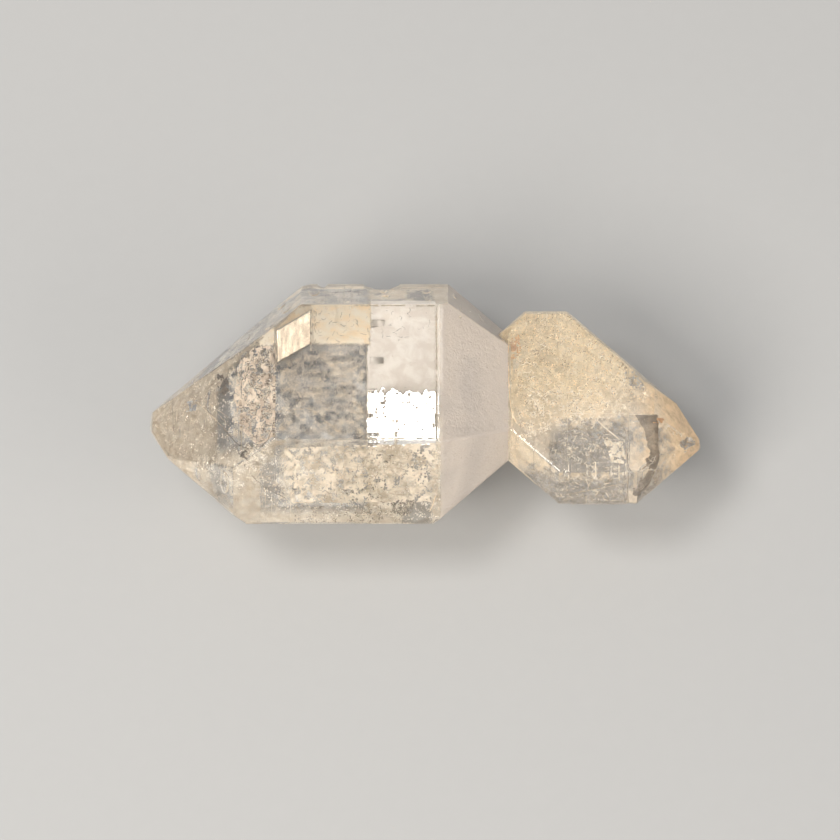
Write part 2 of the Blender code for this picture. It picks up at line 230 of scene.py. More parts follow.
# The quartz
quartzLook = {
    "seed": 5,
    "weld": 1e-6,  # m
    "onePlane": 0.4,  # degrees
    "growthLines": 90,
    "lineSpan": (-17.6, 17.6),  # mm along X
    "riser": 0.05,  # mm
    "lineHeight": 0.010,
    "lineFade": {"step": 7.1, "grain": 0.35, "least": 0.35},
    "edgeLength": 0.24,  # mm, longest edge of the mesh
    "halvings": 9,
    "swell": {"height": 0.004, "grain": 0.6},
    "etched": {"x": (-9.9, -3.8), "above": 0.05, "height": 0.05, "grain": 1.6},
    "oneFace": 0.9995,  # cosine between the normals of one crystal face
    "underBelow": -0.15,  # height of a face's normal
    "bottomBelow": -0.95,
    "sideFrom": 0.3,
    "smoothAngle": 26.0,  # degrees
    "ior": 1.544,
    "join": 5.5,  # mm along X, where the smaller crystal begins
    "clear": colour(0.99, 0.975, 0.95),
    "clearYellow": colour(0.99, 0.965, 0.90),
    "milk": colour(0.95, 0.80, 0.62),
    "paleMilk": colour(1.0, 0.94, 0.83),
    "yellowMilk": colour(1.0, 0.85, 0.62),
    "creamMilk": colour(1.0, 0.88, 0.74),
    "tipMilk": colour(1.0, 0.76, 0.50),
    # painted reflection: the grey that the bottom faces show of a dark ground
    "paintedGroundReflection": colour(0.20, 0.21, 0.235),
    "frostMilk": colour(0.44, 0.385, 0.34),
    "oliveMilk": colour(0.26, 0.23, 0.15),
    "stain": colour(0.07, 0.05, 0.035),
    "volume": colour(0.97, 0.88, 0.72),
    "density": 12.0,
}

# Noise of the material, as scale per mm, detail, roughness and warp
patternLook = {
    "broad": (0.45, 2.0),
    "mottle": (1.5, 5.0, 0.66, 0.6),
    "fine": (5.5, 4.0, 0.65),
    "worms": (1.7, 4.0, 0.6, 1.2),
    "wormWidth": 0.022,
}

# Where a tint comes in, in mm on the stone, from none to all of it
regionLook = {
    "yellow": (-3.6, 0.6),
    "yellowWander": 5.0,
    "yellowSlope": 0.30,
    "tip": (13.6, 15.6),
    # the grey regions mark where the bottom faces get the painted reflection of a dark ground
    "greySmallLeft": (7.8, 8.8),
    "greySmallRight": (13.3, 13.5),
    "greySmallBack": (-1.7, -0.9),
    "greyLargeFront": (-3.0, -1.8),
    "greyLargeRight": (-3.9, -3.6),
    "oliveMiddle": -1.6,
    "oliveWander": 3.0,
    "olive": (0.6, 3.6),
    "frost": (0.7, 1.3),
}

# How much milk shows, as an even part and a patchy part
hazeLook = {
    "under": (0.36, 0.32),
    "small": (0.03, 0.10),
    "front": (0.03, 0.12),
    "bottom": 0.16,
    "backWall": 0.10,
    "upper": 0.03,
    "frosted": 0.70,
    "roughness": 0.4,
}


def copyOfNode(node, name):
    piece = node.copy()
    piece.data = node.data.copy()
    piece.name = name
    piece.data.name = name
    piece.parent = None
    bpy.context.collection.objects.link(piece)
    bpy.ops.object.select_all(action="DESELECT")
    piece.select_set(True)
    bpy.context.view_layer.objects.active = piece
    return piece


def refine(piece, longest):
    # halves every edge longer than this, until none is left or the rounds are used up
    mesh = bmesh.new()
    mesh.from_mesh(piece.data)
    for _ in range(quartzLook["halvings"]):
        longEdges = [edge for edge in mesh.edges if edge.calc_length() > longest]
        if not longEdges:
            break
        bmesh.ops.subdivide_edges(mesh, edges=longEdges, cuts=1)
        bmesh.ops.triangulate(mesh, faces=[face for face in mesh.faces if len(face.verts) > 3])
    mesh.to_mesh(piece.data)
    mesh.free()


def markFaces(mesh):
    # which way each face looks and which crystal it is on, for the material
    look = quartzLook
    marks = {name: [] for name in ("under", "bottom", "frost", "small", "backWall", "front")}
    for polygon in mesh.polygons:
        normal = polygon.normal
        larger = polygon.center.x / mm < look["join"]
        under = normal.z < look["underBelow"]
        upper = normal.z > look["underBelow"]
        marks["under"].append(float(under))
        marks["bottom"].append(float(normal.z < look["bottomBelow"]))
        marks["frost"].append(float(larger and normal.x > look["sideFrom"] and upper))
        marks["small"].append(float(not larger))
        marks["backWall"].append(float(normal.y > look["sideFrom"] and under))
        marks["front"].append(float(normal.y < -look["sideFrom"] and upper))
    for name, values in marks.items():
        mesh.attributes.new(name, "FLOAT", "FACE").data.foreach_set("value", values)


def makeQuartz():
    look = quartzLook
    chance = random.Random(look["seed"])
    piece = copyOfNode(quartzNode, "quartz_crystals")
    lines = sorted(chance.uniform(*look["lineSpan"]) for _ in range(look["growthLines"]))
    lines = [x for x, nextX in zip(lines, lines[1:]) if nextX - x > 3 * look["riser"]]

    bpy.ops.object.mode_set(mode="EDIT")
    bpy.ops.mesh.select_all(action="SELECT")
    bpy.ops.mesh.remove_doubles(threshold=look["weld"])
    bpy.ops.mesh.dissolve_limited(angle_limit=math.radians(look["onePlane"]))
    for x in lines:
        for side in (-0.5, 0.5):
            bpy.ops.mesh.select_all(action="SELECT")
            bpy.ops.mesh.bisect(
                plane_co=((x + side * look["riser"]) * mm, 0.0, 0.0), plane_no=(1.0, 0.0, 0.0)
            )
    bpy.ops.mesh.select_all(action="SELECT")
    bpy.ops.mesh.quads_convert_to_tris(quad_method="BEAUTY", ngon_method="BEAUTY")
    bpy.ops.object.mode_set(mode="OBJECT")
    refine(piece, look["edgeLength"] * mm)
    print("quartz mesh:", len(piece.data.polygons), "faces")
    markFaces(piece.data)

    # each band between two lines stands a little higher or lower, differently on each face
    mesh = piece.data
    heights = [chance.uniform(-1.0, 1.0) for _ in range(len(lines) + 1)]
    faceAround = {}
    for polygon in mesh.polygons:
        for index in polygon.vertices:
            faceAround.setdefault(index, []).append(polygon.normal)
    faded, swell, etched = look["lineFade"], look["swell"], look["etched"]
    for vertex in mesh.vertices:
        normals = faceAround[vertex.index]
        first = normals[0]
        if any(first.dot(other) < look["oneFace"] for other in normals):
            continue  # the crystal's edges stay where they are
        place = vertex.co / mm
        band = bisect_right(lines, place.x)
        grain = faded["grain"]
        fade = noise.noise(Vector((band * faded["step"], place.y * grain, place.z * grain)))
        lift = heights[band] * look["lineHeight"] * (faded["least"] + fade)
        lift += swell["height"] * noise.noise(place * swell["grain"])
        low = first.z < look["bottomBelow"] and place.z > etched["above"]
        if low and etched["x"][0] < place.x < etched["x"][1]:
            ridge = noise.turbulence(place * etched["grain"], 3, False)
            lift -= etched["height"] * ridge
        vertex.co += first * lift * mm
    bpy.ops.object.shade_smooth_by_angle(angle=math.radians(look["smoothAngle"]))
    piece.data.materials.clear()
    piece.data.materials.append(quartzMaterial())
    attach(piece, "root")
    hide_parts("joined_quartz_crystals")


def quartzMaterial():
    look, pattern, region = quartzLook, patternLook, regionLook
    material, glass, at = newMaterial("clearQuartz")
    tree = material.node_tree
    at = at.inMm()
    x = at.make("ShaderNodeSeparateXYZ", {}, {"Vector": at})
    y = Wire(tree, x.socket.node.outputs["Y"])

    def mark(name):
        return at.make("ShaderNodeAttribute", {"attribute_name": name}, {}, "Fac")

    under, bottom, frost, small = mark("under"), mark("bottom"), mark("frost"), mark("small")
    backWall, front = mark("backWall"), mark("front")
    broad = at.noise(*pattern["broad"])
    mottle = at.noise(*pattern["mottle"])
    fine = at.noise(*pattern["fine"])
    worms = 1.0 - at.noise(*pattern["worms"]).away(0.5).ramp(0.0, pattern["wormWidth"])
    worms = worms * broad.ramp(0.40, 0.60)
    specks = fine.ramp(0.60, 0.72) * mottle.ramp(0.45, 0.62)
    slant = y + broad * region["yellowWander"] - x * region["yellowSlope"]
    yellow = small * slant.ramp(*region["yellow"])
    tip = small * x.ramp(*region["tip"])
    greySmall = small * x.ramp(*region["greySmallLeft"])
    greySmall = greySmall * (1.0 - x.ramp(*region["greySmallRight"]))
    greySmall = greySmall * (1.0 - y.ramp(*region["greySmallBack"]))
    greyLarge = (1.0 - small) * y.ramp(*region["greyLargeFront"])
    greyLarge = greyLarge * (1.0 - x.ramp(*region["greyLargeRight"]))
    # painted reflection of a dark ground, laid as grey on the bottom faces
    paintedGroundMask = bottom * (greyLarge + greySmall)
    offMiddle = (x + broad * region["oliveWander"]).away(region["oliveMiddle"])
    olive = front * (1.0 - small) * (1.0 - offMiddle.ramp(*region["olive"]))
    frosted = frost * x.ramp(*region["frost"])

    # clear part
    clear = small.mix(look["clear"], look["clearYellow"])
    clear = (specks * (0.12 + small * 0.35)).mix(clear, look["stain"])
    plug(clear, glass, "Base Color")
    rough = 0.01 + frosted * 0.24 + mottle.ramp(0.5, 0.8) * 0.02
    plug(rough + front * (1.0 - small) * (1.0 - frosted) * 0.05, glass, "Roughness")
    glass.inputs["Transmission Weight"].default_value = 1.0
    glass.inputs["IOR"].default_value = look["ior"]
    grain = mottle * 0.6 + fine * 0.4
    plug(grain.bump(0.35, 0.00003), glass, "Normal")

    # milky part, mostly on the undersides
    milk = mottle.ramp(0.35, 0.65).mix(look["milk"], look["paleMilk"])
    milk = frosted.mix(milk, look["frostMilk"])
    milk = small.mix(milk, look["creamMilk"])
    milk = yellow.mix(milk, look["yellowMilk"])
    milk = tip.mix(milk, look["tipMilk"])
    # the grey of the painted reflection of a dark ground mixed into the milk
    milk = (paintedGroundMask * 0.88).mix(milk, look["paintedGroundReflection"])
    milk = (olive * mottle.ramp(0.40, 0.60)).mix(milk, look["oliveMilk"])
    milk = (worms * (0.16 + small * 0.30) + specks * 0.50).mix(milk, look["stain"])
    hazeNode = tree.nodes.new("ShaderNodeBsdfPrincipled")
    plug(milk, hazeNode, "Base Color")
    hazeNode.inputs["Roughness"].default_value = hazeLook["roughness"]
    plug(grain.bump(1.0, 0.00016), hazeNode, "Normal")
    patches = mottle.ramp(0.30, 0.66)

    def part(name):  # the even part and the patchy part of the milk there
        even, patchy = hazeLook[name]
        return even + patches * patchy

    haze = under * part("under") + bottom * hazeLook["bottom"] + backWall * hazeLook["backWall"]
    haze = haze + (1.0 - under) * hazeLook["upper"] + frosted * hazeLook["frosted"]
    haze = haze + small * (1.0 - under) * part("small")
    haze = haze + front * (1.0 - frost) * (1.0 - small) * part("front")
    clearPart, milkyPart = Wire(tree, glass.outputs["BSDF"]), Wire(tree, hazeNode.outputs["BSDF"])
    both = at.make("ShaderNodeMixShader", {}, {0: haze, 1: clearPart, 2: milkyPart})
    output = next(node for node in tree.nodes if node.type == "OUTPUT_MATERIAL")
    tree.links.new(both.socket, output.inputs["Surface"])
    inputs = {"Color": look["volume"], "Density": look["density"]}
    absorb = at.make("ShaderNodeVolumeAbsorption", {}, inputs)
    tree.links.new(absorb.socket, output.inputs["Volume"])
    return material


print("quartz")
makeQuartz()

# Places inside the quartz, found along the line of sight
walls = BVHTree.FromPolygons(
    [vertex.co / mm for vertex in quartzNode.data.vertices],
    [tuple(polygon.vertices) for polygon in quartzNode.data.polygons],
)
sightLook = {
    "pixels": 840,
    "pixelsAway": 9000.0,
    "past": 0.05,  # mm behind the near face, where the search for the far wall starts
}


def bent(way, normal, ratio):
    # a ray's way after it passes a face
    across = -way.dot(normal)
    inner = math.sqrt(max(0.0, 1.0 - ratio * ratio * (1.0 - across * across)))
    return (way * ratio + normal * (ratio * across - inner)).normalized()


def sight(px, py):
    # where a pixel's line of sight enters the quartz, which way it then runs, the face's normal
    tilt = math.radians(cameraLook["elevation"])
    back = Vector((0.0, -math.cos(tilt), math.sin(tilt)))
    up = Vector((0.0, math.sin(tilt), math.cos(tilt)))
    start = Vector(cameraLook["aim"]) + back * cameraLook["distance"]
    middle = sightLook["pixels"] / 2
    way = up * (middle - py) - back * sightLook["pixelsAway"]
    way.x += px - middle
    way.normalize()
    place, normal, _, _ = walls.ray_cast(start, way)
    if place is None:
        return None, None, None
    return place, bent(way, normal, 1.0 / quartzLook["ior"]), normal


def seenAt(px, py, depth):
    # a point this deep (mm) behind a pixel, and the way back to the eye
    place, way, _ = sight(px, py)
    if place is None:
        return None, None
    wall, _, _, distance = walls.ray_cast(place + way * sightLook["past"], way)
    if wall is None or distance < depth + sightLook["past"]:
        return None, None
    return place + way * depth, -way


def seenOnWall(px, py, inset):
    # a point this far (mm) inside the far wall behind a pixel, and the wall's inward normal
    place, way, _ = sight(px, py)
    if place is None:
        return None, None
    wall, normal, _, _ = walls.ray_cast(place + way * sightLook["past"], way)
    if wall is None:
        return None, None
    return wall - way * (inset / way.dot(normal)), -normal


def glintNormal(px, py, light):
    # the lean at which a mirror behind a pixel shows this light
    _, way, normal = sight(px, py)
    toLight = Vector(lightLook[light][0]).normalized()
    return (-bent(-toLight, normal, 1.0 / quartzLook["ior"]) - way).normalized()


def depthInside(place):
    # distance to the nearest wall, below zero outside
    near, normal, _, distance = walls.find_nearest(place)
    return distance if (place - near).dot(normal) < 0.0 else -distance


def insideOutline(outline, px, py):
    inside = False
    for (x0, y0), (x1, y1) in zip(outline, outline[1:] + outline[:1]):
        if (y0 > py) != (y1 > py) and px < x0 + (py - y0) / (y1 - y0) * (x1 - x0):
            inside = not inside
    return inside


def leaning(normal, spread, chance):
    # the normal turned a little to one side
    return (normal + Vector([chance.gauss(0.0, spread) for _ in range(3)])).normalized()


# Flakes: thin chips on healed cracks and in cloudy zones, some dark and grey ones laid as painted
# shade and painted reflection, and strands of the same finish
chipLook = {"width": (0.4, 0.9), "back": 0.5, "strandSides": 5, "strandEnd": 0.15}


class Flakes:
    def __init__(self, name, material):
        self.name = name
        self.material = material
        self.points = []
        self.faces = []

    def add(self, place, normal, size, thin, chance):
        along = normal.orthogonal().normalized()
        along.rotate(Quaternion(normal, chance.uniform(0.0, math.tau)))
        across = normal.cross(along)
        back, width = chipLook["back"], chipLook["width"]
        first = len(self.points)
        self.points += [
            place + along * size,
            place + (across * chance.uniform(*width) - along * back) * size,
            place - (across * chance.uniform(*width) + along * back) * size,
            place + normal * thin * size,
        ]
        for corners in ((0, 2, 1), (0, 1, 3), (1, 2, 3), (2, 0, 3)):
            self.faces.append([first + corner for corner in corners])

    def tube(self, route, radius):  # a strand that tapers at both ends
        sides = chipLook["strandSides"]
        first = len(self.points)
        for step, place in enumerate(route):
            ahead = route[min(step + 1, len(route) - 1)] - route[max(step - 1, 0)]
            along = ahead.orthogonal().normalized()
            across = ahead.normalized().cross(along)
            taper = chipLook["strandEnd"] if step in (0, len(route) - 1) else 1.0
            for side in range(sides):
                turn = math.tau * side / sides
                out = along * math.cos(turn) + across * math.sin(turn)
                self.points.append(place + out * radius * taper)
        for step in range(len(route) - 1):
            for side in range(sides):
                ring = first + step * sides
                here, after = ring + side, ring + (side + 1) % sides
                self.faces.append([here, after, after + sides])
                self.faces.append([here, after + sides, here + sides])
        last = first + (len(route) - 1) * sides
        self.faces.append([first + side for side in reversed(range(sides))])
        self.faces.append([last + side for side in range(sides)])

    def finish(self):
        mesh = bpy.data.meshes.new(self.name)
        mesh.from_pydata([point * mm for point in self.points], [], self.faces)
        piece = bpy.data.objects.new(self.name, mesh)
        bpy.context.collection.objects.link(piece)
        mesh.materials.append(self.material)
        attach(piece, "root")
        print(self.name, len(self.faces), "faces")


def speckMaterial(name, first, second, rough, metallic):
    material, shader, at = newMaterial(name)
    plug(at.noise(2600.0, 1.0).ramp(0.4, 0.6).mix(first, second), shader, "Base Color")
    shader.inputs["Roughness"].default_value = rough
    shader.inputs["Metallic"].default_value = metallic
    return material


flakeLook = {
    # name: first colour, second colour, roughness, metallic
    "pale": (colour(0.97, 0.92, 0.84), colour(0.86, 0.76, 0.62), 0.35, 0.0),
    "golden": (colour(1.0, 0.88, 0.68), colour(0.92, 0.70, 0.45), 0.35, 0.0),
    "grey": (colour(0.46, 0.49, 0.54), colour(0.26, 0.27, 0.29), 0.30, 0.4),
    "dark": (colour(0.09, 0.075, 0.06), colour(0.17, 0.13, 0.10), 0.45, 0.0),
    "rust": (colour(0.62, 0.34, 0.14), colour(0.42, 0.20, 0.09), 0.40, 0.0),
    "bright": (colour(0.98, 0.97, 0.95), colour(0.98, 0.93, 0.84), 0.10, 1.0),
}
flakes = {
    name: Flakes(name + "_flakes", speckMaterial(name + "Specks", *look))
    for name, look in flakeLook.items()
}

# Areas that more than one zone fills, in picture pixels
rightEndArea = ((440, 330), (506, 360), (506, 440), (440, 500))
smallUpperArea = ((512, 330), (530, 310), (570, 310), (654, 396), (560, 420), (520, 440))
greyPatchArea = ((548, 446), (566, 430), (596, 424), (627, 440), (627, 502), (560, 502))
crumpledArea = ((278, 366), (311, 347), (365, 347), (365, 437), (278, 437))

# Zones that show flakes: their kind, count, size in mm, place and clumping, and their outline in
# picture pixels. Place is "wall" for the far wall, or the depths in mm behind the near face.
veilLook = {
    "seed": 23,
    "lean": 0.35,
    "glintLean": 0.05,
    "thin": 0.12,  # height of a flake by its size
    "clear": 0.6,  # share of its size that a flake keeps from the walls
    "wallInset": (0.06, 0.20),  # mm
    "triesEach": 30,
    "clump": 0.09,  # per pixel
    "coarse": 2.0,
    "fine": 6.0,
    "fineShare": 0.6,
    "spread": 1.6,
    "slack": 0.1,
    "zones": {
        "creamBandDark": {
            "kind": "rust", "count": 120, "size": (0.03, 0.10),
            "place": "wall", "clumps": 0.35,
            "outline": ((296, 312), (334, 312), (330, 322), (298, 326)),
        },
        "diagonalStreak": {
            "kind": "dark", "count": 90, "size": (0.03, 0.07),
            "place": "wall", "clumps": 0.1,
            "outline": ((281, 343), (299, 328), (301, 331), (284, 345)),
        },
        "smokyFleck": {
            "kind": "dark", "count": 700, "size": (0.04, 0.10),
            "place": (0.15, 0.3), "clumps": 0.1,
            "outline": ((217, 374), (226, 376), (230, 388), (222, 398), (218, 388)),
        },
        "smokyFleckLow": {
            "kind": "grey", "count": 160, "size": (0.04, 0.09),
            "place": (0.3, 0.6), "clumps": 0.1,
            "outline": ((184, 402), (197, 400), (196, 410), (186, 412)),
        },
        "etchedTop": {
            "kind": "dark", "count": 1300, "size": (0.02, 0.05),
            "place": (0.15, 0.3), "clumps": 0.25,
            "outline": ((254, 345), (275, 345), (275, 405), (262, 402), (246, 380)),
        },
        "etchedLow": {
            "kind": "dark", "count": 800, "size": (0.02, 0.045),
            "place": (0.15, 0.3), "clumps": 0.35,
            "outline": ((240, 405), (275, 405), (274, 436), (256, 444), (240, 430)),
        },
        "etchedPale": {
            "kind": "pale", "count": 3000, "size": (0.02, 0.07),
            "place": (0.3, 0.9), "clumps": 0.1,
            "outline": ((228, 372), (275, 345), (274, 436), (256, 446), (232, 430)),
        },
        "leftCloud": {
            "kind": "pale", "count": 2600, "size": (0.02, 0.07),
            "place": (0.4, 2.5), "clumps": 0.35,
            "outline": ((150, 400), (272, 332), (272, 450), (232, 500), (152, 430)),
        },
        "brownPatch": {
            "kind": "dark", "count": 220, "size": (0.03, 0.07),
            "place": (0.2, 0.5), "clumps": 0.0,
            "outline": ((241, 450), (249, 451), (246, 458), (240, 457)),
        },
        "sparkles": {
            "kind": "bright", "count": 90, "size": (0.012, 0.04),
            "place": (2.0, 7.0), "clumps": 0.3,
            "outline": ((372, 318), (434, 318), (434, 400), (372, 392)),
        },
        "sparkleCluster": {
            "kind": "bright", "count": 110, "size": (0.02, 0.06),
            "place": (0.5, 2.0), "clumps": 0.3,
            "outline": ((342, 452), (362, 450), (372, 478), (346, 482), (334, 468)),
        },
        "goldenCluster": {
            "kind": "golden", "count": 420, "size": (0.03, 0.08),
            "place": (0.5, 2.0), "clumps": 0.3,
            "outline": ((330, 466), (366, 462), (372, 486), (346, 490), (326, 482)),
        },
        "frontDarkLeft": {
            "kind": "dark", "count": 520, "size": (0.03, 0.08),
            "place": (0.5, 1.5), "clumps": 0.3,
            "outline": ((336, 484), (384, 478), (388, 496), (360, 502), (338, 498)),
        },
        "frontDarkRight": {
            "kind": "dark", "count": 320, "size": (0.03, 0.08),
            "place": (0.5, 1.5), "clumps": 0.3,
            "outline": ((372, 448), (400, 450), (398, 464), (372, 462)),
        },
        "frontWindow": {
            "kind": "dark", "count": 420, "size": (0.04, 0.09),
            "place": (0.5, 0.9), "clumps": -0.3,
            "outline": ((391, 501), (414, 499), (413, 512), (402, 516), (392, 512)),
        },
        "frontLowerDark": {
            "kind": "dark", "count": 620, "size": (0.03, 0.07),
            "place": (0.3, 0.8), "clumps": 0.25,
            "outline": ((292, 506), (402, 500), (404, 522), (292, 522)),
        },
        "frontPale": {
            "kind": "pale", "count": 3200, "size": (0.02, 0.08),
            "place": (0.3, 2.0), "clumps": 0.3,
            "outline": ((236, 450), (440, 446), (440, 520), (290, 520), (240, 470)),
        },
        "rightSpecks": {
            "kind": "dark", "count": 420, "size": (0.02, 0.05),
            "place": (0.12, 0.3), "clumps": 0.35,
            "outline": rightEndArea,
        },
        "rightPale": {
            "kind": "pale", "count": 500, "size": (0.02, 0.05),
            "place": (0.2, 1.0), "clumps": 0.3,
            "outline": rightEndArea,
        },
        "rightLowerMarks": {
            "kind": "dark", "count": 240, "size": (0.03, 0.06),
            "place": (0.2, 0.6), "clumps": 0.1,
            "outline": ((443, 424), (462, 424), (462, 436), (443, 436)),
        },
        "smallYellow": {
            "kind": "golden", "count": 3400, "size": (0.02, 0.08),
            "place": (0.2, 3.0), "clumps": 0.2,
            "outline": smallUpperArea,
        },
        "smallDark": {
            "kind": "dark", "count": 1500, "size": (0.02, 0.06),
            "place": (0.2, 1.2), "clumps": 0.45,
            "outline": smallUpperArea,
        },
        "smallStain": {
            "kind": "rust", "count": 420, "size": (0.03, 0.08),
            "place": (0.3, 0.9), "clumps": 0.0,
            "outline": ((509, 340), (519, 334), (521, 352), (513, 360)),
        },
        "smallGlint": {
            "kind": "bright", "count": 40, "size": (0.03, 0.08),
            "place": (0.5, 1.5), "clumps": 0.2,
            "outline": ((574, 384), (598, 382), (594, 398), (578, 396)),
        },
        "smallMiddle": {
            "kind": "pale", "count": 1500, "size": (0.02, 0.08),
            "place": (0.4, 2.5), "clumps": 0.2,
            "outline": ((530, 390), (620, 388), (640, 414), (560, 426), (524, 440)),
        },
        # the grey and dark flakes of these three zones are painted reflection of a dark ground in
        # the small crystal's bottom face; the pale ones are flecks in it
        "greyPatch": {
            "kind": "grey", "count": 3600, "size": (0.03, 0.09),
            "place": "wall", "clumps": 0.05,
            "outline": greyPatchArea,
        },
        "greyPatchDark": {
            "kind": "dark", "count": 2800, "size": (0.02, 0.08),
            "place": "wall", "clumps": 0.25,
            "outline": greyPatchArea,
        },
        "greyPatchPale": {
            "kind": "pale", "count": 900, "size": (0.02, 0.07),
            "place": "wall", "clumps": 0.35,
            "outline": greyPatchArea,
        },
        "whitish": {
            "kind": "pale", "count": 800, "size": (0.04, 0.10),
            "place": (1.0, 2.0), "clumps": 0.1,
            "outline": ((604, 440), (622, 442), (627, 464), (612, 462)),
        },
        # dense dark flakes as painted shade: the dark seen through the top face there
        "paintedShadeWindow": {
            "kind": "dark", "count": 2600, "size": (0.05, 0.11),
            "place": (0.5, 1.1), "clumps": -0.4,
            "outline": ((636, 415), (655, 415), (655, 456), (648, 446), (645, 430)),
        },
        "darkStrip": {
            "kind": "dark", "count": 2000, "size": (0.04, 0.08),
            "place": (0.5, 1.0), "clumps": -0.2,
            "outline": (
                (655, 452), (660, 456), (654, 474), (648, 486),
                (636, 496), (633, 494), (646, 476),
            ),
        },
        "darkUpper": {
            "kind": "grey", "count": 900, "size": (0.03, 0.09),
            "place": "wall", "clumps": 0.1,
            "outline": ((624, 372), (634, 372), (646, 388), (640, 393), (628, 384)),
        },
        "darkBand": {
            "kind": "grey", "count": 900, "size": (0.03, 0.09),
            "place": "wall", "clumps": 0.2,
            "outline": ((606, 414), (636, 416), (650, 446), (640, 452), (618, 436)),
        },
        "tipChip": {
            "kind": "grey", "count": 420, "size": (0.05, 0.10),
            "place": (0.15, 0.3), "clumps": -0.4,
            "outline": ((680, 444), (689, 437), (695, 443), (684, 449)),
        },
        "tipStreaks": {
            "kind": "pale", "count": 220, "size": (0.04, 0.10),
            "place": (0.3, 0.8), "clumps": 0.2,
            "outline": ((664, 422), (684, 434), (682, 440), (664, 428)),
        },
        "tipBrown": {
            "kind": "rust", "count": 160, "size": (0.03, 0.08),
            "place": (0.3, 0.8), "clumps": 0.1,
            "outline": ((654, 417), (664, 419), (662, 424), (655, 423)),
        },
    },
}


def scatterZone(zone, chance):
    look = veilLook
    outline = zone["outline"]
    target = flakes[zone["kind"]]
    xs, ys = [x for x, _ in outline], [y for _, y in outline]
    placed = 0
    for _ in range(zone["count"] * look["triesEach"]):
        if placed == zone["count"]:
            break
        px, py = chance.uniform(min(xs), max(xs)), chance.uniform(min(ys), max(ys))
        clump = noise.noise(Vector((px, py, 0.0)) * look["clump"] * look["coarse"])
        fine = noise.noise(Vector((px, py, 9.0)) * look["clump"] * look["fine"])
        clump += look["fineShare"] * fine
        if not insideOutline(outline, px, py):
            continue
        if clump < zone["clumps"] * chance.random() * look["spread"] - look["slack"]:
            continue
        if zone["place"] == "wall":
            place, normal = seenOnWall(px, py, chance.uniform(*look["wallInset"]))
        else:
            place, normal = seenAt(px, py, chance.uniform(*zone["place"]))
        size = chance.uniform(*zone["size"])
        if place is None or depthInside(place) < size * look["clear"]:
            continue
        if zone["kind"] == "bright":
            normal = leaning(glintNormal(px, py, "key"), look["glintLean"], chance)
        else:
            normal = leaning(normal, look["lean"], chance)
        target.add(place, normal, size, look["thin"], chance)
        placed += 1


print("veils")
veilChance = random.Random(veilLook["seed"])
for zone in veilLook["zones"].values():
    scatterZone(zone, veilChance)

# Loose flakes all through the stone
cloudLook = {
    "seed": 11,
    "tries": 60000,
    "margin": 0.15,  # mm below the surface
    "size": (0.02, 0.07),  # mm
    "thin": 0.4,  # height of a flake by its size
    "lumps": (0.34, 1.1),  # grain of the larger and the smaller ones, per mm
    "smallCrystal": {"base": 0.35, "lumps": 0.7},
    "largeCrystal": {"base": 0.05, "lumps": 0.35, "tailFrom": 0.5, "tail": 0.04},
    "warmFrom": -3.0,  # mm along Y
    "warmWander": 2.0,
    "warmGrain": 0.5,
}


def thickness(place):
    # how cloudy the quartz is here, from 0 to 1
    broad, close = cloudLook["lumps"]
    lumps = noise.noise(place * broad) + 0.5 * noise.noise(place * close)
    small, large = cloudLook["smallCrystal"], cloudLook["largeCrystal"]
    if place.x > quartzLook["join"]:
        return small["base"] + small["lumps"] * lumps
    tail = max(0.0, place.x - large["tailFrom"]) * large["tail"]
    return large["base"] + tail + large["lumps"] * max(0.0, lumps)


def addCloud():
    look = cloudLook
    chance = random.Random(look["seed"])
    low, high = (corner / mm for corner in cadBox)
    for _ in range(look["tries"]):
        place = Vector([chance.uniform(low[axis], high[axis]) for axis in range(3)])
        if chance.random() > thickness(place) or depthInside(place) < look["margin"]:
            continue
        normal = leaning(Vector((0.0, 0.0, 0.0)), 1.0, chance)
        wander = look["warmWander"] * noise.noise(place * look["warmGrain"])
        warm = place.x > quartzLook["join"] and place.y > look["warmFrom"] + wander
        size = chance.uniform(*look["size"])
        flakes["golden" if warm else "pale"].add(place, normal, size, look["thin"], chance)


print("cloud")
addCloud()

